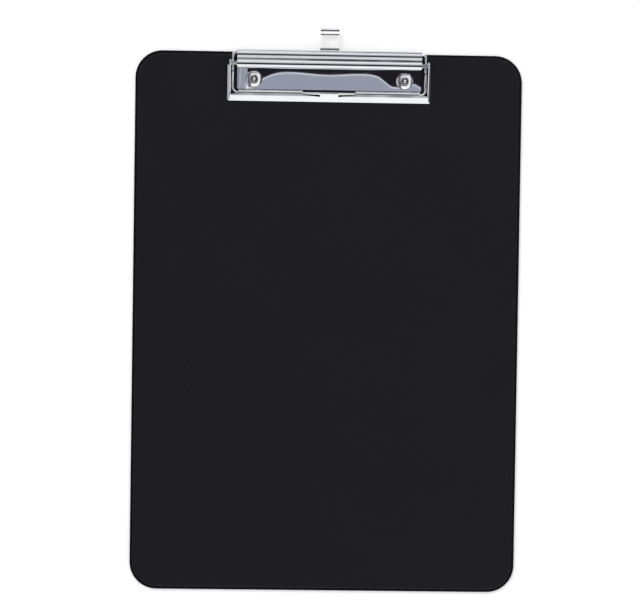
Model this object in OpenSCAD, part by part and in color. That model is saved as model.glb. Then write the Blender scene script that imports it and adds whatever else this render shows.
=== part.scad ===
// A4 clipboard with a low sprung wire clip and a slide-out hanging hook.
// X runs across the board, Y towards the clip and Z out of the writing face.
// The origin is the centre of the board's back face. All sizes are in millimetres.

/* [Board] */
// Width of the board
board_w = 228; // [216:1:250]
// Length of the board
board_l = 318; // [300:1:340]
// Radius of the board's corners
corner_r = 16; // [10:0.5:24]
// Thickness of the greyboard core
core_t = 2.4; // [1.8:0.1:3.2]
// Thickness of each covering foil
foil_t = 0.3; // [0.2:0.05:0.4]
// Width of the welded rim, where the two foils meet round the core
weld_w = 1.6; // [1:0.1:3]
// Radius of the foil where it turns down over the core's edge
edge_r = 0.9; // [0.6:0.05:1.1]

/* [Clip base] */
// Overall width of the clip over the feet of the jaw
clip_w = 120; // [100:1:140]
// Thickness of the base's sheet
base_t = 0.7; // [0.5:0.05:0.9]
// How far the base's rear bend stands out past the board's top edge
overhang = 1.3; // [0:0.1:3]
// Gap between the base's front edge and the jaw's rolled hem
base_hem_gap = 0.45; // [0.2:0.05:1.5]
// Inner radius of the rear bend, which holds the bail's rear run
rear_r = 2.7; // [2.5:0.05:2.9]
// Gap between the end of the base and the bail's leg
leg_side_gap = 1.8; // [1:0.1:3]
// Distance from the rear bend's centre forward to the valley between the two ridges
valley_ahead = 2.5; // [2.4:0.05:2.7]
// Height of the valley's floor above the board's face
valley_h = 6.3; // [6.1:0.05:6.5]
// Radius of the valley
valley_r = 1; // [0.6:0.05:1.2]

/* [Hinge] */
// Diameter of the hinge pin
pin_d = 2.4; // [2:0.1:2.5]
// Running clearance between the pin and the base's front roll, on the radius
pin_gap = 0.05; // [0.03:0.01:0.1]
// Distance from the rear bend's centre forward to the hinge pin
pin_ahead = 5.4; // [5.2:0.05:5.5]
// Height of the hinge pin above the board's face
pin_h = 5.6; // [5.4:0.05:5.8]
// Diameter of the pin's peened heads
pin_head_d = 3.2; // [2.8:0.1:3.6]
// Height of the pin's peened heads
pin_head_h = 0.6; // [0.4:0.05:1]
// Angle of sheet that wraps round the pin
front_wrap = 285; // [240:1:290]

/* [Bail] */
// Diameter of the bail's wire
wire_d = 1.6; // [1.4:0.05:1.7]
// Angle of the bail's rear run above level, seen from the rear bend's centre
rear_run_angle = 33.7; // [30:0.1:38]
// Gap between the bail's rear run and the inside of the rear bend
rear_run_gap = 0.1; // [0.08:0.01:0.2]
// Radius of the bail's corners, on the wire's centre line
bail_bend_r = 3; // [2.2:0.1:3.4]
// Radius of the bend where each leg levels out
leg_bend_r = 2; // [1.5:0.1:2.4]
// Gap between each leg and the board's face
leg_board_gap = 0.15; // [0.05:0.01:0.3]
// Distance along the board from the rear run to the point where the leg levels out
leg_drop_ahead = 3.4; // [3.2:0.05:3.8]
// Length of the level part of each leg
leg_level = 7; // [6:0.1:9]
// Gap between the two ends of the wire, which meet inside the rear bend
end_gap = 2; // [1:0.1:6]

/* [Jaw] */
// Thickness of the jaw's sheet
jaw_t = 0.6; // [0.5:0.05:0.7]
// Distance from the hinge pin forward to the centre of the jaw's rolled hem
jaw_reach = 16.6; // [16.4:0.05:17]
// Height of the hem's centre above the board's face
hem_h = 2; // [1.9:0.05:2.3]
// Clearance round the wire inside the hem, on the radius
hem_gap = 0.25; // [0.24:0.01:0.35]
// How far the resting wire lies ahead of the hem's centre
wire_lead = 0.17; // [0.14:0.01:0.2]
// Angle of sheet that wraps round the wire
hem_wrap = 250; // [200:1:270]
// Distance from the hem's centre forward to the tip of the lip
lip_reach = 4.7; // [4:0.1:6]
// Gap under the lip and the skirts with no paper in the clip
lip_gap = 0.1; // [0.05:0.01:0.3]
// How far each side skirt stands out below its bend, as a foot
skirt_flare = 1.6; // [1.4:0.1:1.9]
// Height of the bend above which the jaw's sides stand upright
skirt_h = 1.6; // [1.4:0.1:2.2]
// Distance from the hinge pin forward to the skirts' rear edge
skirt_rear = 0.2; // [0:0.1:3]
// Radius of the skirts' rear corner
skirt_r = 1.5; // [0.5:0.1:2.2]
// Radius of the jaw's front corners, seen from above
jaw_corner_r = 1.6; // [0.5:0.1:2.2]
// Gap between the bail's leg and the jaw's side
jaw_side_gap = 0.3; // [0.3:0.05:0.6]
// Wall of the ear round the hinge pin
ear_wall = 1; // [0.8:0.05:1.2]
// Width of the keeper tab in the middle of the lip
keeper_w = 10.8; // [6:0.1:16]
// Width of the stretch, keeper included, where the hem is cut away
scoop_w = 31; // [24:0.5:40]
// How far the lip's edge drops from the outside of the scoop to the keeper
scoop_drop = 1.2; // [0:0.1:1.5]

/* [Rivets] */
// Distance from each end of the base in to its rivet
rivet_end = 9.7; // [8:0.1:24]
// Distance from the base's front edge back to the rivets
rivet_inset = 5.9; // [5.5:0.1:6.5]
// Diameter of a rivet's domed head
head_d = 10; // [8:0.1:11]
// Height of a rivet's domed head
head_h = 1.3; // [1:0.05:1.6]
// Diameter of the dimple in a rivet's head
dimple_d = 4.8; // [3.6:0.1:5.6]
// Depth of the dimple in a rivet's head
dimple_h = 0.9; // [0.5:0.05:1]
// Outer diameter of a rivet's shank
shank_d = 5; // [4:0.1:6]
// Wall of a rivet's hollow shank
shank_wall = 0.7; // [0.5:0.05:1]
// Outer diameter of the washer behind the board
washer_d = 11; // [9.5:0.1:14]
// Thickness of the washer behind the board
washer_t = 0.6; // [0.5:0.05:0.9]
// Depth of the washer's back below the board's back face
washer_sink = 0.1; // [0.05:0.01:0.15]
// Clearance round the shanks and the washers, on the radius
rivet_gap = 0.1; // [0.05:0.01:0.2]

/* [Hanging hook] */
// Width of the hook
hook_w = 11; // [9:0.1:13]
// Thickness of the hook's strip
hook_t = 0.8; // [0.6:0.05:0.9]
// How far the hook stands out past the board's top edge when it is drawn out
hook_out = 14.3; // [13.5:0.1:20]
// Length of the folded grip at the hook's outer end
grip_l = 4.1; // [3:0.1:5]
// Radius of the fold at the grip's outer end, on the strip's centre line
fold_r = 0.7; // [0.5:0.05:1]
// Gap between the fold's inner edge and the strip
fold_gap = 0.1; // [0.06:0.01:0.2]
// Width of the hanging eye
eye_w = 8.9; // [7:0.1:9.2]
// Length of the hanging eye
eye_l = 6.8; // [5:0.1:7.2]
// Corner radius of the hanging eye
eye_r = 1.5; // [0.5:0.1:2.4]
// Corner radius at the hook's outer end
hook_r = 1.2; // [0.5:0.1:2]
// Width of the stop wings at the hook's inner end
wing_w = 15; // [14.6:0.1:17]
// Length of the stop wings
wing_l = 2; // [1.5:0.1:2.6]
// Clearance round the hook in its slot and under its guides
hook_gap = 0.15; // [0.1:0.01:0.25]
// Length of the guide lugs at the hook's sides
lug_l = 4; // [2:0.1:4.6]
// Thickness of the guide lugs
lug_t = 0.6; // [0.4:0.05:0.8]
// How far the guide lugs reach over the hook's wings
lug_reach = 1; // [0.5:0.1:1.4]

/* [Hidden] */
$fn = 96;
// Angle between two points along a bend in a sheet's outline
bend_step = 7.5;
// Overlap that joins two solids of one piece, and the reach of a cut past a face
join = 0.2;
over = 1;
// How much less the wire measures in a bend than in a straight run, on the radius
bend_thin = 0.01;
// How much thicker the base's sheet measures where it is rolled round the pin
roll_swell = 0.02;

board_t = core_t + 2 * foil_t;
core_inset = weld_w + foil_t;
mid_z = board_t / 2;

// Clip heights are measured from the board's face, distances from its top edge.
wire_r = wire_d / 2;
pin_r = pin_d / 2;
rear_c = [overhang - rear_r - base_t, rear_r + base_t];
pin_c = [rear_c[0] - pin_ahead, pin_h];
valley_c = [rear_c[0] - valley_ahead, valley_h + valley_r];
front_r = pin_r + pin_gap;
hem_c = [pin_c[0] - jaw_reach, hem_h];
hem_r = wire_r + hem_gap;
rear_run = rear_c + (rear_r - wire_r - rear_run_gap) * dir(rear_run_angle);
front_run = hem_c + wire_lead * unit(hem_c - rear_run);
leg_z = wire_r + leg_board_gap;
leg_knee = [rear_run[0] - leg_drop_ahead, leg_z];
leg_rise = [leg_knee[0] - leg_level, leg_z];

// Half widths, from the jaw's feet inwards
jaw_side_x = clip_w / 2 - skirt_flare - jaw_t / 2;
leg_x = jaw_side_x - jaw_t / 2 - jaw_side_gap - wire_r;
base_x = leg_x - wire_r - leg_side_gap;
hem_x = min(leg_x - bail_bend_r - 0.4, base_x);
ear_r = pin_r + ear_wall;
base_front = hem_c[0] + hem_r + jaw_t + base_hem_gap;

// Sheet paths: each entry is a bend's centre, its radius on the sheet's centre line
// and its side, 1 for a left turn and -1 for a right one. A radius of 0 is an end.
base_path = [
    [[base_front, base_t / 2], 0, 1],
    [rear_c, rear_r + base_t / 2, 1],
    [valley_c, valley_r + base_t / 2, -1],
    [pin_c, front_r + (base_t + roll_swell) / 2, 1],
];
base_turns = headings(base_path);
base_end = base_turns[len(base_turns) - 1];
lip_end = [[hem_c[0] - lip_reach, lip_gap + jaw_t / 2], 0, 1];
lip_path = [lip_end, [hem_c, hem_r + jaw_t / 2, -1]];
lip_turn = headings(lip_path)[0];
side_path = [
    [[jaw_side_x, pin_h + ear_r + over], 0, 1],
    [[jaw_side_x + jaw_t, skirt_h], jaw_t, 1],
    [[jaw_side_x + skirt_flare, lip_gap + jaw_t / 2], 0, 1],
];
// Lower end and top of the lip's outer face
lip_foot = lip_end[0] + jaw_t / 2 * dir(lip_turn + 90);
lip_top = hem_c + (hem_r + jaw_t) * dir(lip_turn + 90);
jaw_top_z = lip_top[1] + 0.3;

rivet_y = base_front + rivet_inset;
rivet_x = base_x - rivet_end;
pocket_h = washer_sink + washer_t;
shank_foot = washer_sink - board_t;

hook_z = base_t + hook_gap / 3;
wing_y = rear_c[0] + sqrt(pow(rear_r, 2) - pow(rear_c[1] - hook_z, 2)) - hook_gap;
grip_y = hook_out - grip_l;
eye_y = grip_y - eye_l / 2;
lug_x = wing_w / 2 + hook_gap;
lug_z = hook_z + hook_t + hook_gap;

foil_colour = [0.12, 0.12, 0.14];
board_colour = [0.62, 0.58, 0.52];
chrome_colour = [0.82, 0.83, 0.86];

function dir(a) = [cos(a), sin(a)];
function unit(v) = v / norm(v);
function arc(c, r, from, to) =
    let (n = max(1, ceil(abs(to - from) / bend_step)))
    [for (i = [0:n]) c + r * dir(from + (to - from) * i / n)];

// Heading of the straight stretch that leaves bend a and reaches bend b
function tangent(a, b) =
    let (gap = b[0] - a[0], k = b[2] * b[1] - a[2] * a[1])
    atan2(gap[1], gap[0]) - asin(k / norm(gap));

// Headings of every straight stretch, each counted on from the last in the bend's sense
function headings(path, i = 0, last = undef) =
    i >= len(path) - 1 ? [] :
    let (
        raw = tangent(path[i], path[i + 1]),
        side = path[i][2],
        turn = (side * (raw - (is_undef(last) ? raw : last)) % 360 + 360) % 360,
        now = is_undef(last) ? raw : last + side * turn
    )
    concat([now], headings(path, i + 1, now));

// One edge of a sheet: the path's line moved to its left by off
function sheet_edge(path, turns, last, off) = [
    for (i = [0:len(path) - 1])
    let (
        b = path[i],
        from = i == 0 ? turns[0] : turns[i - 1],
        to = i == len(path) - 1 ? (b[1] > 0 ? last : from) : turns[i],
        r = b[1] - b[2] * off
    )
    each (from == to
        ? [b[0] + b[2] * r * dir(from - 90)]
        : arc(b[0], b[2] * r, from - 90, to - 90))
];

// Section of a sheet of thickness t, which ends at heading last if it ends in a bend
module sheet(path, t, last) {
    turns = headings(path);
    left = sheet_edge(path, turns, last, t / 2);
    right = sheet_edge(path, turns, last, -t / 2);
    polygon(concat(left, [for (i = [len(right) - 1:-1:0]) right[i]]));
}

// Lays a section drawn in Y and Z across the clip, from x = from to x = to
module strip(from, to) {
    translate([from, 0, 0]) rotate([90, 0, 90]) linear_extrude(to - from) children();
}

// Moves a child from the clip's own frame to its place on the board
module on_board() {
    translate([0, board_l / 2, board_t]) children();
}

module round_rect(size, r) {
    square([size[0] - 2 * r, size[1]], center = true);
    square([size[0], size[1] - 2 * r], center = true);
    for (x = [-1, 1], y = [-1, 1])
        translate([x * (size[0] / 2 - r), y * (size[1] / 2 - r)]) circle(r);
}

// Slab with the board's outline, whose edge has the section edge, drawn from the
// corners' centres outwards in X and from the back face upwards in Y
module edged_slab(edge, from, to) {
    w = board_w - 2 * corner_r;
    l = board_l - 2 * corner_r;
    translate([-w / 2, -l / 2, from]) cube([w, l, to - from]);
    for (side = [[0, w, l], [90, l, w], [180, w, l], [270, l, w]])
        rotate(side[0]) translate([side[1] / 2, side[2] / 2, 0]) {
            rotate([90, 0, 0]) linear_extrude(side[2]) polygon(edge);
            rotate_extrude(angle = 90) polygon(edge);
        }
}

module at_rivets() {
    for (x = [-rivet_x, rivet_x]) translate([x, board_l / 2 + rivet_y, 0]) children();
}

module core_board() {
    edge_x = corner_r - core_inset;
    r = edge_r - foil_t;
    edge = concat(
        [[0, foil_t]],
        arc([edge_x - r, foil_t + r], r, -90, 0),
        arc([edge_x - r, board_t - foil_t - r], r, 0, 90),
        [[0, board_t - foil_t]]
    );
    color(board_colour) difference() {
        edged_slab(edge, foil_t, board_t - foil_t);
        at_rivets() {
            cylinder(h = board_t + over, d = shank_d + 2 * rivet_gap);
            cylinder(h = pocket_h, d = washer_d + 2 * rivet_gap);
        }
    }
}

// A foil drawn over one face and down to the middle of the edge, then out along the rim
module cover(hole_d) {
    edge_x = corner_r - weld_w;
    bend = [edge_x - edge_r, board_t - edge_r];
    edge = concat(
        [[0, board_t - foil_t]],
        arc(bend, edge_r - foil_t, 90, 0),
        [[edge_x - foil_t, mid_z], [corner_r, mid_z], [corner_r, mid_z + foil_t]],
        [[edge_x, mid_z + foil_t]],
        arc(bend, edge_r, 0, 90),
        [[0, board_t]]
    );
    color(foil_colour) difference() {
        edged_slab(edge, board_t - foil_t, board_t);
        at_rivets() cylinder(h = board_t + over, d = hole_d);
    }
}

module front_cover() {
    cover(shank_d + 2 * rivet_gap);
}

module back_cover() {
    translate([0, 0, board_t]) mirror([0, 0, 1]) cover(washer_d + 2 * rivet_gap);
}

// Section of the base: riveted plate, rear bend, valley and the roll round the pin
module base_section() {
    sheet(base_path, base_t, base_end);
    translate(pin_c) difference() {
        circle(front_r + base_t + roll_swell);
        circle(front_r);
        polygon(concat([[0, 0]], arc([0, 0], 2 * front_r + base_t,
            base_end - 90 + front_wrap, base_end + 260)));
    }
}

module guide_lug() {
    height = lug_z + lug_t;
    translate([lug_x, wing_y - wing_l - lug_l - hook_gap, 0]) {
        translate([0, 0, base_t - join]) cube([lug_t, lug_l, height - base_t + join]);
        translate([-lug_reach, 0, lug_z]) cube([lug_reach + lug_t, lug_l, lug_t]);
    }
}

module clip_base() {
    slot_h = hook_t + 2 * hook_gap;
    slot_w = hook_w + 2 * hook_gap;
    color(chrome_colour) on_board() {
        difference() {
            strip(-base_x, base_x) base_section();
            translate([-slot_w / 2, rear_c[0], base_t])
                cube([slot_w, rear_r + base_t + over, slot_h]);
            for (x = [-rivet_x, rivet_x]) translate([x, rivet_y, -over])
                cylinder(h = base_t + 2 * over, d = shank_d + 2 * rivet_gap);
        }
        guide_lug();
        mirror([1, 0, 0]) guide_lug();
    }
}

// Pin pressed into the jaw's ears, with a peened head at each end
module hinge_pin() {
    half = jaw_side_x + jaw_t / 2;
    head = [[0, 0], [pin_head_d / 2, 0], [pin_head_d / 2, pin_head_h / 2],
        [pin_head_d / 3, pin_head_h], [0, pin_head_h]];
    color(chrome_colour) on_board() translate([0, pin_c[0], pin_c[1]]) rotate([0, 90, 0]) {
        cylinder(h = 2 * half + pin_head_h, r = pin_r, center = true);
        for (end = [0, 1]) mirror([0, 0, end]) translate([0, 0, half])
            rotate_extrude() polygon(head);
    }
}

// Side view of the jaw: the ear round the pin, the arm and the cut along the lip's face
module jaw_side_view() {
    corner = [pin_c[0] - skirt_rear - skirt_r, lip_gap + skirt_r];
    translate(pin_c) circle(ear_r);
    translate(corner) circle(skirt_r);
    polygon([
        pin_c + ear_r * dir(100),
        [pin_c[0] - skirt_rear, pin_h],
        [pin_c[0] - skirt_rear, corner[1]],
        corner,
        [corner[0], lip_gap],
        [lip_foot[0], lip_gap],
        lip_foot,
        lip_top,
        [lip_top[0] + jaw_t, jaw_top_z],
    ]);
}

module jaw_side() {
    intersection() {
        translate([0, pin_c[0], 0]) rotate([90, 0, 0])
            linear_extrude(height = 4 * jaw_reach, center = true) sheet(side_path, jaw_t, 0);
        strip(0, clip_w) jaw_side_view();
    }
}

// Everything between the middles of the jaw's two side sheets
module between_sides() {
    line = sheet_edge(side_path, headings(side_path), 0, 0);
    right = concat(line, [[line[len(line) - 1][0], 0]]);
    translate([0, pin_c[0], 0]) rotate([90, 0, 0])
        linear_extrude(height = 4 * jaw_reach, center = true)
            polygon(concat(right, [for (i = [len(right) - 1:-1:0]) [-right[i][0], right[i][1]]]));
}

// Stretch of the lip from x = from to x = to, whose sheet wraps by wrap round the wire
module lip_strip(from, to, wrap) {
    strip(from, to) sheet(lip_path, jaw_t, lip_turn - wrap);
}

// Lip on the right: half the keeper tab, the open scoop, the rolled hem and the corner
module half_lip() {
    scoop_x = scoop_w / 2;
    keeper_x = keeper_w / 2;
    lip_strip(0, keeper_x, lip_turn);
    difference() {
        lip_strip(keeper_x, scoop_x, 0);
        linear_extrude(2 * jaw_top_z) polygon([
            [keeper_x - over, lip_top[0] - scoop_drop],
            [keeper_x, lip_top[0] - scoop_drop],
            [scoop_x, lip_top[0]],
            [scoop_x, lip_top[0] + jaw_t],
            [keeper_x - over, lip_top[0] + jaw_t],
        ]);
    }
    lip_strip(scoop_x, hem_x, hem_wrap);
    lip_strip(hem_x, clip_w / 2, 0);
}

// What the rounding of the jaw's front corner takes off
module front_corner() {
    r = jaw_corner_r;
    translate([clip_w / 2 - r, lip_foot[0] + r, 0]) linear_extrude(jaw_top_z) difference() {
        translate([0, -2 * r]) square(2 * r);
        circle(r);
    }
}

module clip_jaw() {
    color(chrome_colour) on_board() difference() {
        union() {
            intersection() {
                union() {
                    half_lip();
                    mirror([1, 0, 0]) half_lip();
                }
                between_sides();
            }
            jaw_side();
            mirror([1, 0, 0]) jaw_side();
        }
        translate([0, pin_c[0], pin_c[1]]) rotate([0, 90, 0])
            cylinder(h = clip_w + over, r = pin_r, center = true);
        front_corner();
        mirror([1, 0, 0]) front_corner();
    }
}

// Bend of a wire at corner, between the points before and after it
module wire_bend(before, corner, after, r) {
    u = unit(corner - before);
    v = unit(after - corner);
    turn = acos(u * v);
    axis = unit(cross(u, v));
    out = cross(u, axis);
    start = corner - u * r * tan(turn / 2);
    c = start - out * r;
    multmatrix([
        [out[0], u[0], axis[0], c[0]],
        [out[1], u[1], axis[1], c[1]],
        [out[2], u[2], axis[2], c[2]],
        [0, 0, 0, 1],
    ]) rotate_extrude(angle = turn) translate([r, 0]) circle(wire_r - bend_thin);
}

// Straight run of wire from a to b
module wire_run(a, b) {
    u = unit(b - a);
    side = abs(u[0]) > 0.9 ? [0, 0, 1] : [1, 0, 0];
    w = unit(cross(side, u));
    multmatrix([
        [side[0], w[0], u[0], a[0]],
        [side[1], w[1], u[1], a[1]],
        [side[2], w[2], u[2], a[2]],
        [0, 0, 0, 1],
    ]) cylinder(h = norm(b - a), r = wire_r);
}

// How far a bend of radius r at point i takes from the runs beside it
function trim(pts, i, r) =
    let (u = unit(pts[i] - pts[i - 1]), v = unit(pts[i + 1] - pts[i]))
    r * tan(acos(u * v) / 2);

module bent_wire(pts, radii) {
    last = len(pts) - 1;
    grip = join / 4;
    for (i = [0:last - 1]) {
        u = unit(pts[i + 1] - pts[i]);
        head = i == 0 ? 0 : trim(pts, i, radii[i]) - grip;
        tail = i == last - 1 ? 0 : trim(pts, i + 1, radii[i + 1]) - grip;
        wire_run(pts[i] + u * head, pts[i + 1] - u * tail);
    }
    for (i = [1:last - 1]) wire_bend(pts[i - 1], pts[i], pts[i + 1], radii[i]);
}

module bail_spring() {
    function at(x, p) = [x, p[0], p[1]];
    half = [at(end_gap / 2, rear_run), at(leg_x, rear_run), at(leg_x, leg_knee),
        at(leg_x, leg_rise), at(leg_x, front_run)];
    radii = [0, bail_bend_r, leg_bend_r, 3 * leg_bend_r, bail_bend_r];
    pts = concat([for (i = [0:4]) [-half[i][0], half[i][1], half[i][2]]],
        [for (i = [4:-1:0]) half[i]]);
    color(chrome_colour) on_board()
        bent_wire(pts, concat(radii, [for (i = [4:-1:0]) radii[i]]));
}

// Hollow rivet: domed head with a punched dimple, shank and flared foot in the washer
module rivet(x) {
    r = shank_d / 2;
    foot = shank_foot;
    flare = washer_t / 2;
    dome_r = (pow(head_d / 2, 2) + pow(head_h, 2)) / (2 * head_h);
    dome_z = base_t + head_h - dome_r;
    dimple_z = base_t + head_h - dimple_h;
    color(chrome_colour) on_board() translate([x, rivet_y, 0]) difference() {
        union() {
            intersection() {
                translate([0, 0, dome_z]) sphere(dome_r);
                translate([0, 0, base_t]) cylinder(h = head_h + over, r = head_d / 2);
            }
            translate([0, 0, foot]) cylinder(h = base_t - foot + join, r = r);
            translate([0, 0, foot]) cylinder(h = flare, r1 = r + flare, r2 = r);
        }
        difference() {
            translate([0, 0, dimple_z])
                cylinder(h = 2 * dimple_h, d1 = dimple_d - dimple_h, d2 = dimple_d + dimple_h);
            translate([0, 0, dimple_z - join])
                cylinder(h = dimple_h / 2 + join, r1 = dimple_d / 5, r2 = dimple_d / 10);
        }
        translate([0, 0, foot - over])
            cylinder(h = dimple_z - base_t / 2 - foot + over, r = r - shank_wall);
    }
}

module rivet_left() {
    rivet(-rivet_x);
}

module rivet_right() {
    rivet(rivet_x);
}

module washer(x) {
    r = shank_d / 2;
    flare = washer_t / 2;
    color(chrome_colour) on_board() translate([x, rivet_y, shank_foot]) difference() {
        cylinder(h = washer_t, d = washer_d);
        translate([0, 0, -over]) cylinder(h = washer_t + 2 * over, r = r + rivet_gap);
        translate([0, 0, -join]) cylinder(h = flare + join, r1 = r + flare + join, r2 = r);
    }
}

module washer_left() {
    washer(-rivet_x);
}

module washer_right() {
    washer(rivet_x);
}

// Plan of the hook: stop wings, strip with rounded outer corners, and the eye
module hook_plan() {
    difference() {
        union() {
            translate([0, (wing_y + hook_out) / 2])
                round_rect([hook_w, hook_out - wing_y + 2 * join], hook_r);
            translate([-wing_w / 2, wing_y - wing_l]) square([wing_w, wing_l]);
            translate([-hook_w / 2, wing_y - wing_l]) square([hook_w, wing_l + 2 * hook_r]);
        }
        translate([0, eye_y]) round_rect([eye_w, eye_l], eye_r);
    }
}

module hanging_hook() {
    strip_z = hook_z + hook_t / 2;
    path = [
        [[wing_y - wing_l - over, strip_z], 0, 1],
        [[hook_out - fold_r - hook_t / 2, strip_z + fold_r], fold_r, 1],
        [[grip_y, strip_z + hook_t + fold_gap], 0, 1],
    ];
    color(chrome_colour) on_board() intersection() {
        strip(-wing_w / 2 - over, wing_w / 2 + over) sheet(path, hook_t, 0);
        linear_extrude(hook_z + 4 * hook_t) hook_plan();
    }
}

core_board();
front_cover();
back_cover();
clip_base();
hinge_pin();
clip_jaw();
bail_spring();
rivet_left();
rivet_right();
washer_left();
washer_right();
hanging_hook();
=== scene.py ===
"""Looks of an A4 clipboard: a film-covered board, a low sprung wire clip and a hanging hook.

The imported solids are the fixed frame. Lengths in the classes are millimetres and are turned
into metres where a mesh, a material or a lamp is made.
"""

import logging
import math
from dataclasses import dataclass
from enum import Enum
from functools import cache
from typing import Any, Iterable, Mapping, Sequence

import bmesh
import bpy
from mathutils import Euler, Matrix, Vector

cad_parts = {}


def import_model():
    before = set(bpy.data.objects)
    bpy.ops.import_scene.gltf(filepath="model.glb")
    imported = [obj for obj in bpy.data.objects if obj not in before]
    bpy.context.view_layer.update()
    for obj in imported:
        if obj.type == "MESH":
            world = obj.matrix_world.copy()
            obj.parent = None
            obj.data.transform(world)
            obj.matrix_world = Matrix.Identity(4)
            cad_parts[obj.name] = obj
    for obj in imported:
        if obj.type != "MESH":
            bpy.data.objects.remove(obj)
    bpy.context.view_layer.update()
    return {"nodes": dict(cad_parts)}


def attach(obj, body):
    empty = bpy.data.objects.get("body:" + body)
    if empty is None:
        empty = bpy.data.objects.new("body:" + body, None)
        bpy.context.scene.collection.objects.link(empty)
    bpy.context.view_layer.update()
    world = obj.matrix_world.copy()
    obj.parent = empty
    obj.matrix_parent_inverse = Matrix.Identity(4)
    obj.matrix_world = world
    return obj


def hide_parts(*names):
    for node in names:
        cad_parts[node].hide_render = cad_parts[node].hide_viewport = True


LOG = logging.getLogger("clipboard")
MM = 0.001
TURN = 360.0

Pair = tuple[float, float]
Triple = tuple[float, float, float]
Colour = tuple[float, float, float]
Nodes = Mapping[str, bpy.types.Object]

WHITE: Colour = (1.0, 1.0, 1.0)


class Blend(Enum):
    """Ways that a ramp goes from stop to stop."""

    STRAIGHT = "LINEAR"
    ROUND = "B_SPLINE"


# ---------------------------------------------------------------- shader graph


class Signal:
    """One output socket of a node tree, which adds Math nodes when it is calculated with."""

    def __init__(self, graph: "Graph", socket: bpy.types.NodeSocket) -> None:
        """Wraps a socket.

        Args:
            graph: the graph that the socket is in.
            socket: the output socket.
        """
        self.graph = graph
        self.socket = socket

    def __add__(self, other: "Signal | float") -> "Signal":
        """Sum of two signals."""
        return self.graph.maths("ADD", self, other)

    def __radd__(self, other: float) -> "Signal":
        """Sum with a number on the left."""
        return self.graph.maths("ADD", other, self)

    def __sub__(self, other: "Signal | float") -> "Signal":
        """Difference of two signals."""
        return self.graph.maths("SUBTRACT", self, other)

    def __rsub__(self, other: float) -> "Signal":
        """Difference from a number on the left."""
        return self.graph.maths("SUBTRACT", other, self)

    def __mul__(self, other: "Signal | float") -> "Signal":
        """Product of two signals."""
        return self.graph.maths("MULTIPLY", self, other)

    def __rmul__(self, other: float) -> "Signal":
        """Product with a number on the left."""
        return self.graph.maths("MULTIPLY", other, self)

    def __truediv__(self, other: "Signal | float") -> "Signal":
        """Quotient of two signals."""
        return self.graph.maths("DIVIDE", self, other)

    def __rtruediv__(self, other: float) -> "Signal":
        """Quotient of a number on the left."""
        return self.graph.maths("DIVIDE", other, self)

    def __abs__(self) -> "Signal":
        """The signal without its sign."""
        return self.graph.maths("ABSOLUTE", self)

    def at_least(self, other: "Signal | float") -> "Signal":
        """Larger of two signals."""
        return self.graph.maths("MAXIMUM", self, other)

    def at_most(self, other: "Signal | float") -> "Signal":
        """Smaller of two signals."""
        return self.graph.maths("MINIMUM", self, other)

    def between(self, low: float, high: float) -> "Signal":
        """Mask that rises smoothly from 0 to 1.

        Args:
            low: the value at which the mask is 0.
            high: the value at which the mask is 1, which may be the lower one.

        Returns:
            The mask.
        """
        return self.graph.node(
            "ShaderNodeMapRange",
            {"interpolation_type": "SMOOTHSTEP"},
            {"Value": self, "From Min": low, "From Max": high},
        )


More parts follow.
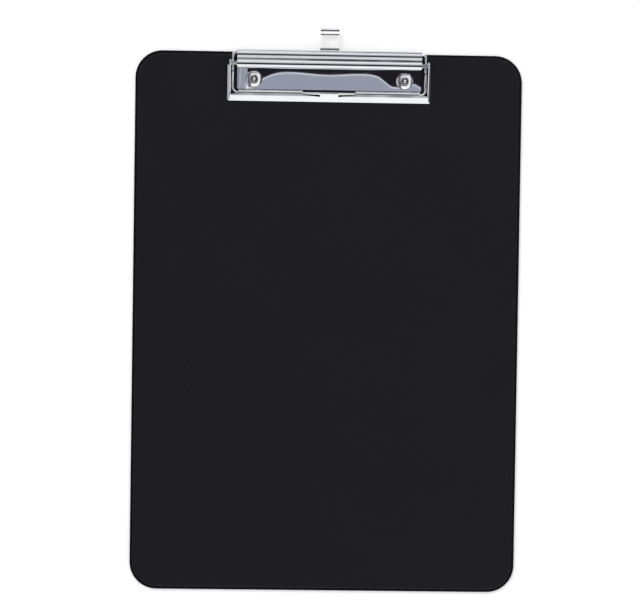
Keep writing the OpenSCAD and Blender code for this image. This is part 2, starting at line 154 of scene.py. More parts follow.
class Graph:
    """Node tree of a material or of the world."""

    def __init__(self, tree: bpy.types.NodeTree) -> None:
        """Clears a tree and takes it over.

        Args:
            tree: the node tree.
        """
        self.tree = tree
        tree.nodes.clear()

    def node(
        self,
        kind: str,
        settings: Mapping[str, Any] | None = None,
        inputs: Mapping[str | int, Any] | None = None,
        output: str | int = 0,
    ) -> Signal:
        """Adds a node.

        Args:
            kind: the node's type.
            settings: its settings, which are set first. "stops" are a ramp's places and
                colours, and "blend" is the way between them.
            inputs: values or signals for its sockets, by name or number.
            output: the socket that is returned.

        Returns:
            The wrapped output socket.
        """
        made = self.tree.nodes.new(kind)
        for name, value in (settings or {}).items():
            if name == "stops":
                self._set_stops(made.color_ramp, value)
            elif name == "blend":
                made.color_ramp.interpolation = value.value
            else:
                setattr(made, name, value)
        for name, value in (inputs or {}).items():
            socket = made.inputs[name]
            if isinstance(value, Signal):
                self.tree.links.new(value.socket, socket)
            else:
                socket.default_value = value
        return Signal(self, made.outputs[output] if made.outputs else None)

    @staticmethod
    def _set_stops(ramp: bpy.types.ColorRamp, stops: Sequence[tuple[float, Colour]]) -> None:
        """Sets a ramp's stops.

        Args:
            ramp: the ramp.
            stops: places from 0 to 1 with their colours.
        """
        while len(ramp.elements) < len(stops):
            ramp.elements.new(1.0)
        for element, (place, colour) in zip(ramp.elements, stops):
            element.position = place
            element.color = (*colour, 1.0)

    def maths(self, operation: str, *values: "Signal | float") -> Signal:
        """Adds a Math node.

        Args:
            operation: the node's operation.
            values: its operands.

        Returns:
            The result.
        """
        return self.node("ShaderNodeMath", {"operation": operation}, dict(enumerate(values)))

    def mix(self, amount: Signal | float, low: Any, high: Any) -> Signal:
        """Mixes two colours.

        Args:
            amount: 0 for the first colour, 1 for the second.
            low: the first colour or signal.
            high: the second colour or signal.

        Returns:
            The mixed colour.
        """
        first, second = (
            value if isinstance(value, Signal) else (*value, 1.0) for value in (low, high)
        )
        return self.node(
            "ShaderNodeMix", {"data_type": "RGBA"}, {0: amount, 6: first, 7: second}, output=2
        )

    def place(self) -> Signal:
        """Place on the object, in metres, as a vector."""
        return self.node("ShaderNodeTexCoord", output="Object")

    def scaled(self, vector: Signal, scale: Triple) -> Signal:
        """A vector multiplied part by part.

        Args:
            vector: the vector.
            scale: its three factors.

        Returns:
            The scaled vector.
        """
        return self.node("ShaderNodeVectorMath", {"operation": "MULTIPLY"}, {0: vector, 1: scale})

    def parts(self, vector: Signal) -> tuple[Signal, Signal, Signal]:
        """Splits a vector.

        Args:
            vector: the vector.

        Returns:
            Its X, Y and Z parts.
        """
        split = self.node("ShaderNodeSeparateXYZ", inputs={0: vector})
        x, y, z = (Signal(self, socket) for socket in split.socket.node.outputs)
        return x, y, z

    def millimetres(self, place: Signal) -> tuple[Signal, Signal, Signal]:
        """Splits a place.

        Args:
            place: the place, in metres.

        Returns:
            Its X, Y and Z parts, in millimetres.
        """
        x, y, z = (part / MM for part in self.parts(place))
        return x, y, z

    def length(self, first: Signal, second: Signal) -> Signal:
        """Length of the vector that two signals at a right angle make."""
        return self.maths("SQRT", first * first + second * second)

    def noise(
        self, vector: Signal, per_mm: float, detail: float = 3.0, rough: float = 0.5
    ) -> Signal:
        """Noise from 0 to 1.

        Args:
            vector: the place, in metres.
            per_mm: how often the noise repeats in a millimetre.
            detail: the number of finer layers.
            rough: how strong the finer layers are.

        Returns:
            The noise.
        """
        return self.node(
            "ShaderNodeTexNoise",
            inputs={"Vector": vector, "Scale": per_mm / MM, "Detail": detail, "Roughness": rough},
        )

    def bump(self, height: Signal, depth: float, below: Signal | None = None) -> Signal:
        """Bumped normal.

        Args:
            height: the height signal.
            depth: the height of 1, in millimetres.
            below: the normal that the bump is added to.

        Returns:
            The normal.
        """
        inputs: dict[str, Any] = {"Height": height, "Distance": depth * MM, "Strength": 1.0}
        if below is not None:
            inputs["Normal"] = below
        return self.node("ShaderNodeBump", inputs=inputs)

    def ray(self, kind: str) -> Signal:
        """Mask of one kind of ray, such as "Is Camera Ray"."""
        return self.node("ShaderNodeLightPath", output=kind)

    def blend(self, amount: Signal, low: Signal, high: Signal) -> Signal:
        """Mixes two shaders, from the first at 0 to the second at 1."""
        return self.node("ShaderNodeMixShader", inputs={0: amount, 1: low, 2: high})

    def background(self, colour: Any, strength: float = 1.0) -> Signal:
        """World light.

        Args:
            colour: its colour or signal.
            strength: its strength.

        Returns:
            The shader.
        """
        full = colour if isinstance(colour, Signal) else (*colour, 1.0)
        return self.node("ShaderNodeBackground", inputs={"Color": full, "Strength": strength})

    def surface(self, inputs: Mapping[str, Any]) -> None:
        """Ends the graph in a Principled surface.

        Args:
            inputs: values or signals of the shader's sockets.
        """
        shader = self.node("ShaderNodeBsdfPrincipled", inputs=inputs)
        self.node("ShaderNodeOutputMaterial", inputs={"Surface": shader})


# ---------------------------------------------------------------- finishes


@dataclass(frozen=True)
class Finish:
    """A surface finish, drawn as a node material."""

    name: str

    @cache
    def material(self) -> bpy.types.Material:
        """Makes the finish's material, once.

        Returns:
            The material.
        """
        made = bpy.data.materials.new(self.name)
        made.use_nodes = True
        self.draw(Graph(made.node_tree))
        return made

    def draw(self, graph: Graph) -> None:
        """Draws the finish's nodes.

        Args:
            graph: the material's empty graph.
        """
        raise NotImplementedError


@dataclass(frozen=True)
class FilmFinish(Finish):
    """Matt black film with a fine grain, painted shade along its welded rim and scuffed corners.

    Places across the rim are distances to the board's outline, negative inside.
    """

    half_width: float = 114.0
    half_length: float = 159.0
    corner: float = 16.0
    worn_rim: Pair = (-2.6, -0.4)
    rim_shade_line: Pair = (-1.6, -1.2)
    scuff_rim: Pair = (-4.5, -3.0)
    scuff_corner: float = 10.0
    scuff_per_mm: float = 1.1
    scuff_band: Pair = (0.60, 0.70)
    cloud_per_mm: float = 0.018
    cloud_band: Pair = (0.25, 0.75)
    cloud_depth: float = 0.10
    wear_per_mm: float = 0.35
    wear_band: Pair = (0.52, 0.78)
    grain_per_mm: float = 1.9
    grain_share: float = 0.75
    grain_softness: float = 0.7
    pits_per_mm: float = 3.4
    grain_depth: float = 0.022
    face: Colour = (0.0069, 0.0062, 0.0102)
    cloudy: Colour = (0.0096, 0.0091, 0.0136)
    rubbed: Colour = (0.020, 0.020, 0.024)
    scuffed: Colour = (0.040, 0.040, 0.048)
    # painted shade: this near-black colour along the welded rim stands in for the shadow at the
    # board's edge
    welded: Colour = (0.0012, 0.0012, 0.0016)
    cloud_share: float = 0.22
    rub_share: float = 0.8
    rim_shade_share: float = 0.9
    roughness: float = 0.52
    rim_roughness: float = 0.34
    cloud_roughness: float = 0.10
    pits_roughness: float = 0.12
    index: float = 1.47
    specular: float = 0.20

    def edge_distance(self, graph: Graph, place: Signal) -> Signal:
        """Distance to the board's outline.

        Args:
            graph: the graph.
            place: the place on the object.

        Returns:
            The distance in millimetres, negative inside.
        """
        x, y, _ = graph.millimetres(place)
        over_x = abs(x) - (self.half_width - self.corner)
        over_y = abs(y) - (self.half_length - self.corner)
        outside = graph.length(over_x.at_least(0.0), over_y.at_least(0.0))
        return outside + over_x.at_least(over_y).at_most(0.0) - self.corner

    def scuffs(self, graph: Graph, place: Signal) -> Signal:
        """Fine scuff marks at the board's corners.

        Args:
            graph: the graph.
            place: the place on the object.

        Returns:
            Their mask.
        """
        x, y, _ = graph.millimetres(place)
        start, end = self.corner, self.scuff_corner
        corner = abs(x).between(self.half_width - start, self.half_width - end)
        corner = corner * abs(y).between(self.half_length - start, self.half_length - end)
        marks = graph.noise(place, self.scuff_per_mm, 4.0, 0.65)
        return marks.between(*self.scuff_band) * corner

    def draw(self, graph: Graph) -> None:
        """Draws the film: grain, faint unevenness, the rim and the corners' scuffs.

        Args:
            graph: the material's empty graph.
        """
        place = graph.place()
        edge = self.edge_distance(graph, place)
        rim = edge.between(*self.worn_rim)
        cloud = graph.noise(place, self.cloud_per_mm, 2.0)
        pits = graph.noise(place, self.pits_per_mm, 3.0, 0.6)
        graph.surface(
            {
                "Base Color": self.tint(graph, place, edge, rim, cloud),
                "Roughness": self.dullness(rim, cloud, pits),
                "IOR": self.index,
                "Specular IOR Level": self.specular,
                "Normal": self.relief(graph, place, cloud, pits),
            }
        )

    def tint(
        self, graph: Graph, place: Signal, edge: Signal, rim: Signal, cloud: Signal
    ) -> Signal:
        """The film's colour: rubbed rim, clouds, scuffs and painted shade along the welded rim.

        Args:
            graph: the graph.
            place: the place on the object.
            edge: the distance to the outline.
            rim: the rim's mask.
            cloud: the clouds' noise.

        Returns:
            The colour.
        """
        wear = graph.noise(place, self.wear_per_mm, 4.0, 0.6).between(*self.wear_band)
        tint = graph.mix(rim * wear * self.rub_share, self.face, self.rubbed)
        tint = graph.mix(cloud.between(*self.cloud_band) * self.cloud_share, tint, self.cloudy)
        scuffs = self.scuffs(graph, place) * edge.between(*self.scuff_rim)
        tint = graph.mix(scuffs, tint, self.scuffed)
        # painted shade: a near-black line is mixed in along the welded rim
        return graph.mix(edge.between(*self.rim_shade_line) * self.rim_shade_share, tint, self.welded)

    def dullness(self, rim: Signal, cloud: Signal, pits: Signal) -> Signal:
        """The film's roughness, which is lower on the rim.

        Args:
            rim: the rim's mask.
            cloud: the clouds' noise.
            pits: the pits' noise.

        Returns:
            The roughness.
        """
        rough = self.roughness + (cloud - 0.5) * self.cloud_roughness
        rough = rough + (pits - 0.5) * self.pits_roughness
        return rough - rim * (self.roughness - self.rim_roughness)

    def relief(self, graph: Graph, place: Signal, cloud: Signal, pits: Signal) -> Signal:
        """The film's bumps: a shallow wave under the grain.

        Args:
            graph: the graph.
            place: the place on the object.
            cloud: the clouds' noise.
            pits: the pits' noise.

        Returns:
            The normal.
        """
        grain = graph.node(
            "ShaderNodeTexVoronoi",
            {"feature": "SMOOTH_F1"},
            {
                "Vector": place,
                "Scale": self.grain_per_mm / MM,
                "Smoothness": self.grain_softness,
            },
        )
        height = grain * self.grain_share + pits * (1.0 - self.grain_share)
        return graph.bump(height, self.grain_depth, graph.bump(cloud, self.cloud_depth))


@dataclass(frozen=True)
class BoardFinish(Finish):
    """Raw greyboard: felted fibres in greys and browns."""

    light: Colour = (0.36, 0.33, 0.27)
    dark: Colour = (0.20, 0.18, 0.15)
    fleck: Colour = (0.12, 0.11, 0.10)
    stretch: Triple = (1.0, 0.35, 1.0)
    fibre_per_mm: float = 1.6
    fibre_band: Pair = (0.3, 0.7)
    fibre_roughness: float = 0.2
    fleck_per_mm: float = 0.7
    fleck_band: Pair = (0.62, 0.7)
    fleck_share: float = 0.5
    roughness: float = 0.86
    depth: float = 0.05

    def draw(self, graph: Graph) -> None:
        """Draws the greyboard.

        Args:
            graph: the material's empty graph.
        """
        place = graph.place()
        fibre = graph.noise(graph.scaled(place, self.stretch), self.fibre_per_mm, 6.0, 0.65)
        fleck = graph.noise(place, self.fleck_per_mm, 2.0).between(*self.fleck_band)
        tone = graph.mix(fibre.between(*self.fibre_band), self.dark, self.light)
        graph.surface(
            {
                "Base Color": graph.mix(fleck * self.fleck_share, tone, self.fleck),
                "Roughness": self.roughness + (fibre - 0.5) * self.fibre_roughness,
                "Normal": graph.bump(fibre, self.depth),
            }
        )


@dataclass(frozen=True)
class ChromeFinish(Finish):
    """Bright chrome with faint forming marks along one direction and fine handling marks."""

    stretch: Triple = (0.06, 1.0, 1.0)
    tone: Colour = (0.80, 0.81, 0.84)
    dull: Colour = (0.66, 0.67, 0.70)
    shade: Colour = (0.05, 0.05, 0.055)
    roughness: float = 0.045
    marks: float = 0.0007
    wear: float = 1.0
    haze_per_mm: float = 0.11
    haze_band: Pair = (0.35, 0.75)
    haze_share: float = 0.30
    haze_roughness: float = 0.045
    scratch_per_mm: float = 4.2
    scratch_stretch: Triple = (1.0, 0.05, 1.0)
    scratch_band: Pair = (0.66, 0.74)
    scratch_share: float = 0.15
    scratch_roughness: float = 0.05
    forming_per_mm: float = 2.6
    forming_roughness: float = 0.03
    wave_per_mm: float = 0.55
    wave_share: float = 0.8
    patch_per_mm: float = 0.05
    patch_stretch: Triple = (1.0, 0.2, 1.0)
    patch_band: Pair = (0.3, 0.7)

    def draw(self, graph: Graph) -> None:
        """Draws the chrome.

        Args:
            graph: the material's empty graph.
        """
        place = graph.place()
        graph.surface(
            {
                "Base Color": self.tint(graph, place),
                "Metallic": 1.0,
                "Roughness": self.polish(graph, place),
                "Normal": self.relief(graph, place),
            }
        )

    def haze(self, graph: Graph, place: Signal) -> Signal:
        """Cloudy patches where the chrome is duller."""
        return graph.noise(place, self.haze_per_mm, 3.0, 0.55).between(*self.haze_band)

    def scratches(self, graph: Graph, place: Signal) -> Signal:
        """Thin handling marks along the board."""
        along = graph.scaled(place, self.scratch_stretch)
        return graph.noise(along, self.scratch_per_mm, 2.0).between(*self.scratch_band)

    def forming(self, graph: Graph, place: Signal) -> Signal:
        """Forming marks along the metal's length."""
        return graph.noise(graph.scaled(place, self.stretch), self.forming_per_mm, 4.0, 0.6)

    def patches(self, graph: Graph, place: Signal) -> Signal:
        """Soft patches along the board, in which a shaded line is stronger."""
        along = graph.scaled(place, self.patch_stretch)
        return graph.noise(along, self.patch_per_mm, 2.0).between(*self.patch_band)

    def tint(self, graph: Graph, place: Signal) -> Signal:
        """The chrome's colour.

        Args:
            graph: the graph.
            place: the place on the object.

        Returns:
            The colour.
        """
        worn = self.haze(graph, place) * self.haze_share
        worn = worn + self.scratches(graph, place) * self.scratch_share
        return graph.mix(worn, self.tone, self.dull)

    def polish(self, graph: Graph, place: Signal) -> Signal:
        """The chrome's roughness.

        Args:
            graph: the graph.
            place: the place on the object.

        Returns:
            The roughness.
        """
        rough = self.roughness + self.haze(graph, place) * (self.haze_roughness * self.wear)
        lines = self.forming(graph, place) * self.forming_roughness
        lines = lines + self.scratches(graph, place) * self.scratch_roughness
        return rough + lines * self.wear

    def relief(self, graph: Graph, place: Signal) -> Signal:
        """The chrome's bumps: a faint unevenness under the forming marks.

        Args:
            graph: the graph.
            place: the place on the object.

        Returns:
            The normal.
        """
        wave = graph.noise(place, self.wave_per_mm, 1.0)
        soft = graph.bump(wave, self.marks * self.wave_share)
        return graph.bump(self.forming(graph, place), self.marks, soft)


@dataclass(frozen=True)
class PlateFinish(ChromeFinish):
    """Chrome of the riveted base: its plate is slightly dished, and its valley has painted shade.

    The dish is lowest along a wavy line over the plate, which is given by points. The plate's
    left end leans and is rippled instead.
    """

    dish: float = 0.006
    plate_top: Pair = (4.1, 3.8)
    plate_rear: float = 150.0
    rear_blend: float = 0.5
    half_length: float = 54.1
    lowest_band: Pair = (136.0, 164.0)
    lowest: tuple[Pair, ...] = (
        (-54.1, 140.5),
        (-48.0, 140.0),
        (-44.0, 141.0),
        (-39.5, 143.4),
        (-34.0, 146.0),
        (-28.5, 147.1),
        (-21.0, 147.4),
        (-11.0, 146.6),
        (0.0, 145.8),
        (12.0, 146.8),
        (22.0, 147.1),
        (29.0, 146.0),
        (33.5, 142.4),
        (37.5, 139.6),
        (46.0, 140.4),
        (50.0, 142.8),
        (54.1, 139.5),
    )
    weaker: Pair = (-38.0, -46.5)
    weaker_share: float = 0.6
    end: Pair = (-47.2, -49.4)
    end_lean: float = 0.025
    end_drop: float = 0.1
    end_ripple: float = 0.32
    ripple_per_mm: float = 0.9
    ripple_stretch: Triple = (1.0, 0.03, 1.0)
    valley: float = 154.0
    valley_half: Pair = (0.95, 0.4)
    valley_floor: Pair = (8.0, 8.6)
    valley_shade_share: float = 0.62
    valley_shade_patch: float = 0.2
    valley_right: Pair = (-25.0, 10.0)
    valley_right_shade_share: float = 0.15
    patch_per_mm: float = 0.045
    patch_band: Pair = (0.35, 0.65)

    def lowest_line(self, graph: Graph, x: Signal) -> Signal:
        """Where the dish is lowest.

        Args:
            graph: the graph.
            x: the place across the board.

        Returns:
            The place along the board.
        """
        length = 2 * self.half_length
        low, high = self.lowest_band
        stops = [
            ((at + self.half_length) / length, ((to - low) / (high - low),) * 3)
            for at, to in self.lowest
        ]
        share = (x + self.half_length) / length
        line = graph.node("ShaderNodeValToRGB", {"stops": stops, "blend": Blend.ROUND}, {0: share})
        return line * (high - low) + low

    def relief(self, graph: Graph, place: Signal) -> Signal:
        """The chrome's bumps with the plate's dish and the lean of its left end.

        Args:
            graph: the graph.
            place: the place on the object.

        Returns:
            The normal.
        """
        x, y, z = graph.millimetres(place)
        ahead = y - self.lowest_line(graph, x)
        flat = z.between(*self.plate_top)
        flat = flat * y.between(self.plate_rear + self.rear_blend, self.plate_rear)
        weaker = 1 - x.between(*self.weaker) * self.weaker_share
        end = x.between(*self.end)
        ripple = graph.noise(graph.scaled(place, self.ripple_stretch), self.ripple_per_mm, 2.0)
        dished = ahead * ahead * weaker * (self.dish / 2) * (1 - end)
        lean = (self.plate_rear - y) * self.end_lean
        height = dished + end * (lean - self.end_drop + ripple * self.end_ripple)
        return graph.bump(height * flat, 1.0, super().relief(graph, place))

    def tint(self, graph: Graph, place: Signal) -> Signal:
        """The chrome's colour, with painted shade in the valley between the two ridges.

        Args:
            graph: the graph.
            place: the place on the object.

        Returns:
            The colour.
        """
        x, y, z = graph.millimetres(place)
        # painted shade: the valley between the ridges is darkened, a little more towards the right
        valley_shade = abs(y - self.valley).between(*self.valley_half) * z.between(*self.valley_floor)
        share = self.valley_shade_share + self.patches(graph, place) * self.valley_shade_patch
        share = share + x.between(*self.valley_right) * self.valley_right_shade_share
        return graph.mix(valley_shade * share, super().tint(graph, place), self.shade)


@dataclass(frozen=True)
class JawFinish(ChromeFinish):
    """Chrome of the jaw, with painted shade along the front of its rolled hem but not on the
    keeper tab.
    """

    shade: Colour = (0.10, 0.10, 0.11)
    hem_front: Pair = (132.8, 133.4)
    hem_rear: Pair = (134.9, 134.5)
    hem_height: Pair = (4.4, 4.8)
    keeper: Pair = (5.5, 6.0)
    hem_shade_share: float = 0.55
    hem_shade_patch: float = 0.35

    def tint(self, graph: Graph, place: Signal) -> Signal:
        """The chrome's colour, with painted shade along the hem's front.

        Args:
            graph: the graph.
            place: the place on the object.

        Returns:
            The colour.
        """
        x, y, z = graph.millimetres(place)
        # painted shade: a dark line along the front of the hem, left off the keeper tab
        line = y.between(*self.hem_front) * y.between(*self.hem_rear)
        line = line * z.between(*self.hem_height) * abs(x).between(*self.keeper)
        share = self.hem_shade_share + self.patches(graph, place) * self.hem_shade_patch
        return graph.mix(line * share, super().tint(graph, place), self.shade)


@dataclass(frozen=True)
class RivetFinish(ChromeFinish):
    """Chrome of the rivets, with painted shade in the groove round their middle."""

    x: float = 44.4
    y: float = 142.9
    groove: float = 1.5
    groove_half: Pair = (0.6, 0.3)
    groove_height: Pair = (3.5, 4.0)
    groove_shade_share: float = 0.85

    def tint(self, graph: Graph, place: Signal) -> Signal:
        """The chrome's colour, dark in the groove.

        Args:
            graph: the graph.
            place: the place on the object.

        Returns:
            The colour.
        """
        x, y, z = graph.millimetres(place)
        radius = graph.length(abs(x) - self.x, y - self.y)
        # painted shade: the ring-shaped groove round the boss is darkened
        groove = abs(radius - self.groove).between(*self.groove_half)
        groove = groove * z.between(*self.groove_height) * self.groove_shade_share
        return graph.mix(groove, super().tint(graph, place), self.shade)


@dataclass(frozen=True)
class HookFinish(ChromeFinish):
    """Bright nickel of the hook: a leaning strip and a crowned grip, with painted shade where
    pieces meet.
    """

    tone: Colour = (0.96, 0.96, 0.97)
    dull: Colour = (0.90, 0.90, 0.91)
    shade: Colour = (0.04, 0.04, 0.045)
    roughness: float = 0.12
    grip_y: float = 169.2
    grip_height: Pair = (4.8, 4.9)
    crown_y: float = 171.5
    crown: float = 0.26
    lean: float = 0.30
    seam_y: float = 169.5
    seam_half: Pair = (0.55, 0.2)
    seam_height: Pair = (4.3, 4.5)
    slot: Pair = (161.5, 161.0)
    shade_share: float = 0.9

    def relief(self, graph: Graph, place: Signal) -> Signal:
        """The chrome's bumps with the grip's crown and the strip's lean.

        Args:
            graph: the graph.
            place: the place on the object.

        Returns:
            The normal.
        """
        _, y, z = graph.millimetres(place)
        grip = z.between(*self.grip_height)
        off = y - self.crown_y
        height = (y - self.grip_y) * self.lean * (1 - grip) - off * off * grip * (self.crown / 2)
        return graph.bump(height, 1.0, super().relief(graph, place))

    def tint(self, graph: Graph, place: Signal) -> Signal:
        """The nickel's colour, with painted shade at the fold's seam and in the slot.

        Args:
            graph: the graph.
            place: the place on the object.

        Returns:
            The colour.
        """
        _, y, z = graph.millimetres(place)
        # painted shade: dark lines at the fold's seam and where the strip goes into the base's
        # slot
        seam = abs(y - self.seam_y).between(*self.seam_half) * z.between(*self.seam_height)
        dark = seam.at_least(y.between(*self.slot)) * self.shade_share
        return graph.mix(dark, super().tint(graph, place), self.shade)


@dataclass(frozen=True)
class FloorFinish(Finish):
    """Plain pale floor that glows a little for camera and metal, and keeps a shadow."""

    tone: Colour = (0.86, 0.86, 0.86)
    pale: Colour = (0.90, 0.90, 0.90)
    speck_per_mm: float = 0.02
    speck_share: float = 0.05
    lift: float = 0.22

    def draw(self, graph: Graph) -> None:
        """Draws the floor.

        Args:
            graph: the material's empty graph.
        """
        speck = graph.noise(graph.place(), self.speck_per_mm, 2.0) * self.speck_share
        diffuse = graph.node(
            "ShaderNodeBsdfDiffuse", inputs={"Color": graph.mix(speck, self.tone, self.pale)}
        )
        seen = graph.ray("Is Camera Ray") + graph.ray("Is Glossy Ray")
        seen = (seen + graph.ray("Is Transmission Ray")).at_most(1.0)
        glow = graph.node(
            "ShaderNodeEmission", inputs={"Color": (*WHITE, 1.0), "Strength": seen * self.lift}
        )
        both = graph.node("ShaderNodeAddShader", inputs={0: diffuse, 1: glow})
        graph.node("ShaderNodeOutputMaterial", inputs={"Surface": both})


# ---------------------------------------------------------------- carried-over nodes


@dataclass
class Dress:
    """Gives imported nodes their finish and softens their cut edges."""

    edge: float = 0.08
    segments: int = 2
    angle: float = 32.0
    flat: float = 0.6
    weld: float = 0.002

    def apply(
        self,
        node: bpy.types.Object,
        finish: Finish,
        edge: float | None = None,
        merge: bool = True,
    ) -> None:
        """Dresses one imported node.

        Args:
            node: the node's object.
            finish: the finish.
            edge: the width of its edge rounding, or None for the usual one.
            merge: whether faces that lie in one plane are made one.
        """
        material = finish.material()
        for place in node.material_slots:
            place.material = material
        weld = node.modifiers.new("Weld", "WELD")
        weld.merge_threshold = self.weld * MM
        if merge:
            flats = node.modifiers.new("Flats", "DECIMATE")
            flats.decimate_type = "DISSOLVE"
            flats.angle_limit = math.radians(self.flat)
        bevel = node.modifiers.new("Edges", "BEVEL")
        bevel.width = (self.edge if edge is None else edge) * MM
        bevel.segments = self.segments
        bevel.limit_method = "ANGLE"
        bevel.angle_limit = math.radians(self.angle)
        bevel.harden_normals = True
        bevel.use_clamp_overlap = True
        LOG.info("dressed %s in %s", node.name, finish.name)


@dataclass
class FilmBoard:
    """The board: greyboard core between two welded films."""

    film: Finish = FilmFinish("film")
    core: Finish = BoardFinish("raw_board")

    def dress(self, nodes: Nodes, dress: Dress) -> None:
        """Dresses the board's nodes.

        Args:
            nodes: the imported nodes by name.
            dress: what dresses a node.
        """
        dress.apply(nodes["front_cover"], self.film)
        dress.apply(nodes["back_cover"], self.film)
        dress.apply(nodes["core_board"], self.core)


@dataclass
class ClipParts:
    """The clip's metal pieces."""

    plate: Finish = PlateFinish("chromed_plate", roughness=0.02, marks=0.0003, wear=0.35)
    sheet: Finish = JawFinish("chromed_jaw")
    hook: Finish = HookFinish("nickel_hook")
    wire: Finish = ChromeFinish(
        "bright_wire",
        stretch=(0.08, 0.08, 0.08),
        tone=(0.97, 0.97, 0.98),
        dull=(0.88, 0.88, 0.89),
        roughness=0.12,
    )
    pin: Finish = ChromeFinish(
        "steel_pin",
        stretch=(0.1, 1.0, 1.0),
        tone=(0.42, 0.42, 0.44),
        dull=(0.3, 0.3, 0.31),
        roughness=0.2,
    )
    rivet: Finish = RivetFinish(
        "turned_chrome",
        stretch=(1.0, 1.0, 1.0),
        tone=(0.95, 0.95, 0.96),
        dull=(0.8, 0.8, 0.81),
        roughness=0.05,
    )
    plate_edge: float = 0.06
    hook_edge: float = 0.15
    small_edge: float = 0.05

    def dress(self, nodes: Nodes, dress: Dress) -> None:
        """Dresses the clip's nodes.

        Args:
            nodes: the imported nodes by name.
            dress: what dresses a node.
        """
        dress.apply(nodes["clip_base"], self.plate, self.plate_edge, merge=False)
        dress.apply(nodes["clip_jaw"], self.sheet)
        dress.apply(nodes["hanging_hook"], self.hook, self.hook_edge)
        dress.apply(nodes["bail_spring"], self.wire, self.small_edge)
        dress.apply(nodes["hinge_pin"], self.pin, self.small_edge)
        for name in ("washer_left", "washer_right"):
            dress.apply(nodes[name], self.rivet, self.small_edge)


# ---------------------------------------------------------------- turned pieces


@dataclass
class Rivet:
    """A rivet: a domed head with a groove round a boss, a hollow shank and a flared foot.

    Heights are above the board's face.
    """

    node: str
    x: float
    y: float = 142.9
    face: float = 3.0
    body: str = "board"
    slot: str = "chromed_rivet"
    bore: float = 1.8
    web: float = 0.05
    shank: float = 2.5
    foot: float = 2.8
    foot_z: float = -2.9
    foot_taper: float = 0.3
    seat_z: float = 0.7
    head: float = 5.0
    head_inset: Pair = (0.12, 0.03)
    rim_lift: float = 0.04
    rim_z: float = 0.82
    crest: Pair = (2.35, 1.99)
    groove: Pair = (1.45, 1.22)
    boss_z: float = 1.72
    boss_power: float = 2.4
    fullness: float = 1.5
    steps: int = 10
    segments: int = 96
    sharp: float = 38.0

    def shank_section(self) -> list[Pair]:
        """Half section of the shank, from inside the head down and back up to the head's rim.

        Returns:
            Radii with their heights.
        """
        wide, wider = (self.head - inset for inset in self.head_inset)
        return [
            (0.0, self.seat_z + self.web),
            (self.bore, self.seat_z + self.web),
            (self.bore, self.foot_z),
            (self.foot, self.foot_z),
            (self.shank, self.foot_z + self.foot_taper),
            (self.shank, self.seat_z),
            (wide, self.seat_z),
            (wider, self.seat_z + self.rim_lift),
        ]

    def head_section(self) -> list[Pair]:
        """Half section of the head: over the dome, down into the groove and over the boss.

        Returns:
            Radii with their heights.
        """
        section: list[Pair] = []
        crest, crest_z = self.crest
        groove, groove_z = self.groove
        power = 2.0 / self.fullness
        for step in range(self.steps + 1):
            angle = math.pi / 2 * step / self.steps
            out = (self.head - crest) * max(math.cos(angle), 0.0) ** power
            up = (crest_z - self.rim_z) * math.sin(angle) ** power
            section.append((crest + out, self.rim_z + up))
        for step in range(1, self.steps + 1):
            share = step / self.steps
            fall = (1.0 - math.cos(math.pi * share)) / 2
            radius = crest + (groove - crest) * share
            section.append((radius, crest_z + (groove_z - crest_z) * fall))
        for step in range(1, self.steps + 1):
            radius = groove * (1.0 - step / self.steps)
            rise = 1.0 - (radius / groove) ** self.boss_power
            section.append((radius, groove_z + (self.boss_z - groove_z) * rise))
        return section

    def ring(
        self, shape: bmesh.types.BMesh, radius: float, height: float
    ) -> list[bmesh.types.BMVert]:
        """Adds a ring of corners round the rivet's axis, or one corner on the axis.

        Args:
            shape: the shape that they are added to.
            radius: the ring's radius.
            height: its height above the board's face.

        Returns:
            The corners, in order.
        """
        middle = Vector((self.x, self.y, self.face + height))
        corners = []
        for step in range(self.segments if radius > 0.0 else 1):
            angle = math.tau * step / self.segments
            out = Vector((math.cos(angle), math.sin(angle), 0.0)) * radius
            corners.append(shape.verts.new((middle + out) * MM))
        return corners

    def build(self, finish: Finish) -> bpy.types.Object:
        """Turns the rivet and puts it in its node's place.

        Args:
            finish: its finish.

        Returns:
            The rivet.
        """
        shape = bmesh.new()
        rings = [
            self.ring(shape, radius, height)
            for radius, height in self.shank_section() + self.head_section()
        ]
        for near, far in zip(rings, rings[1:]):
            for step in range(self.segments):
                corners = (
                    near[step % len(near)],
                    near[(step + 1) % len(near)],
                    far[(step + 1) % len(far)],
                    far[step % len(far)],
                )
                shape.faces.new(tuple(dict.fromkeys(corners)))
        bmesh.ops.recalc_face_normals(shape, faces=shape.faces)
        for face in shape.faces:
            face.smooth = True
        mesh = bpy.data.meshes.new(self.node + "_turned")
        shape.to_mesh(mesh)
        shape.free()
        mesh.set_sharp_from_angle(angle=math.radians(self.sharp))
        mesh.materials.append(finish.material())
        made = bpy.data.objects.new(self.node + "_turned", mesh)
        bpy.context.scene.collection.objects.link(made)
        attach(made, self.body)
        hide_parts(self.node)
        LOG.info("turned %s", made.name)
        return made


# ---------------------------------------------------------------- studio


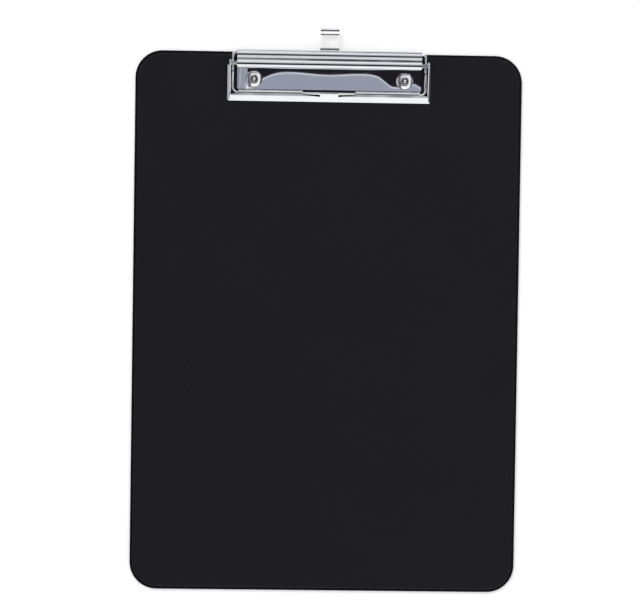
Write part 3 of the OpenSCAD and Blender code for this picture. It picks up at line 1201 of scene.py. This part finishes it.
@dataclass
class Studio:
    """Plain floor, soft light all round, and the camera over the board.

    Metal reflects walls round the board. Their tones are given by the angle from straight up,
    in degrees, positive towards the clip's end. The two side walls have an upper and a lower tone,
    and where they begin is given by how far a direction leans to the side.
    """

    stand: Triple = (-28.02, 34.51, 1052.54)
    turn: Triple = (-1.397, -1.3211, 0.8536)
    lens: float = 100.0
    sight: Pair = (10.0, 20000.0)
    floor_size: float = 6000.0
    even_light: float = 0.78
    lamp_place: Triple = (-500.0, 700.0, 1300.0)
    lamp_size: float = 900.0
    lamp_power: float = 7.0
    gap_end: Pair = (6.0, 6.2)
    rim_start: Pair = (6.1, 6.3)
    rim_end: Pair = (6.6, 7.0)
    gap_rim: Colour = (0.66, 0.68, 0.74)
    front_wall: tuple[tuple[float, Colour], ...] = (
        (-180.0, (1.1, 1.1, 1.1)),
        (-40.0, (1.15, 1.15, 1.15)),
        (-28.0, (1.0, 1.0, 1.0)),
        (-20.0, (0.75, 0.75, 0.76)),
        (-14.0, (0.06, 0.06, 0.065)),
        (-8.0, (0.016, 0.014, 0.018)),
        (8.0, (0.016, 0.014, 0.018)),
    )
    rear_wall: tuple[tuple[float, Colour], ...] = (
        (4.0, (0.36, 0.385, 0.465)),
        (15.0, (0.37, 0.395, 0.475)),
        (22.0, (0.60, 0.61, 0.64)),
        (32.0, (0.92, 0.92, 0.93)),
        (52.0, (1.0, 1.0, 1.0)),
        (62.0, (0.68, 0.68, 0.69)),
        (76.0, (0.16, 0.16, 0.17)),
        (100.0, (0.20, 0.20, 0.21)),
        (130.0, (0.6, 0.6, 0.6)),
        (180.0, (1.1, 1.1, 1.1)),
    )
    left_wall: tuple[Colour, Colour] = ((0.12, 0.12, 0.13), (0.50, 0.50, 0.52))
    right_wall: tuple[Colour, Colour] = ((0.95, 0.95, 0.97), (0.06, 0.06, 0.065))
    middle: Pair = (-0.1, 0.1)
    sides_from: Pair = (0.16, 0.42)
    sides_lower: Pair = (0.55, 0.80)

    def walls(self, graph: Graph) -> Signal:
        """Draws what the metal reflects: the walls and a dark gap with a pale rim overhead.

        Args:
            graph: the world's graph.

        Returns:
            The colour.
        """
        x, y, z = graph.parts(graph.node("ShaderNodeTexCoord", output="Generated"))
        tilt = graph.maths("ARCTAN2", y, z) * math.degrees(1.0)
        front, rear = (
            graph.node(
                "ShaderNodeValToRGB",
                {
                    "stops": [(0.5 + angle / TURN, colour) for angle, colour in stops],
                    "blend": Blend.STRAIGHT,
                },
                {0: tilt / TURN + 0.5},
            )
            for stops in (self.front_wall, self.rear_wall)
        )
        wall = graph.mix(tilt.between(*self.gap_end), front, rear)
        rim = tilt.between(*self.rim_start) - tilt.between(*self.rim_end)
        wall = graph.mix(rim, wall, self.gap_rim)
        right = x.between(*self.middle)
        upper, lower = (
            graph.mix(right, left_tone, right_tone)
            for left_tone, right_tone in zip(self.left_wall, self.right_wall)
        )
        sides = graph.mix(abs(x).between(*self.sides_lower), upper, lower)
        return graph.mix(abs(x).between(*self.sides_from), wall, sides)

    def surround(self) -> None:
        """Makes the world: even light, the walls for metal, and white behind the board."""
        world = bpy.data.worlds.new("surround")
        bpy.context.scene.world = world
        world.use_nodes = True
        graph = Graph(world.node_tree)
        even = graph.background(WHITE, self.even_light)
        lit = graph.blend(graph.ray("Is Glossy Ray"), even, graph.background(self.walls(graph)))
        straight = (graph.ray("Is Camera Ray") + graph.ray("Is Transmission Ray")).at_most(1.0)
        seen = graph.blend(straight, lit, graph.background(WHITE))
        graph.node("ShaderNodeOutputWorld", inputs={"Surface": seen})

    def floor(self) -> None:
        """Makes the floor."""
        half = self.floor_size / 2 * MM
        mesh = bpy.data.meshes.new("floor")
        mesh.from_pydata(
            [(-half, -half, 0.0), (half, -half, 0.0), (half, half, 0.0), (-half, half, 0.0)],
            [],
            [(0, 1, 2, 3)],
        )
        mesh.materials.append(FloorFinish("floor").material())
        made = bpy.data.objects.new("floor", mesh)
        bpy.context.scene.collection.objects.link(made)

    def lamp(self) -> None:
        """Adds a soft square lamp aimed at the board, which metal doesn't mirror."""
        data = bpy.data.lights.new("key", "AREA")
        data.size = self.lamp_size * MM
        data.energy = self.lamp_power
        made = bpy.data.objects.new("key", data)
        made.location = Vector(self.lamp_place) * MM
        made.rotation_euler = (-made.location).to_track_quat("-Z", "Y").to_euler()
        made.visible_glossy = False
        made.visible_camera = False
        bpy.context.scene.collection.objects.link(made)

    def camera(self) -> None:
        """Makes the camera, which looks down on the board as in the photograph."""
        data = bpy.data.cameras.new("over_board")
        data.lens = self.lens
        data.clip_start, data.clip_end = (reach * MM for reach in self.sight)
        made = bpy.data.objects.new("over_board", data)
        made.location = Vector(self.stand) * MM
        made.rotation_euler = Euler([math.radians(angle) for angle in self.turn])
        bpy.context.scene.collection.objects.link(made)
        bpy.context.scene.camera = made

    def build(self) -> None:
        """Makes the whole studio."""
        bpy.context.scene.view_settings.view_transform = "Standard"
        self.surround()
        self.floor()
        self.lamp()
        self.camera()


def main() -> None:
    """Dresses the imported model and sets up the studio."""
    logging.basicConfig(level=logging.INFO, format="%(message)s")
    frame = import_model()
    nodes = frame["nodes"]
    dress = Dress()
    FilmBoard().dress(nodes, dress)
    clip = ClipParts()
    clip.dress(nodes, dress)
    for node, x in (("rivet_left", -44.4), ("rivet_right", 44.4)):
        Rivet(node, x).build(clip.rivet)
    Studio().build()


if __name__ == "__main__":
    main()
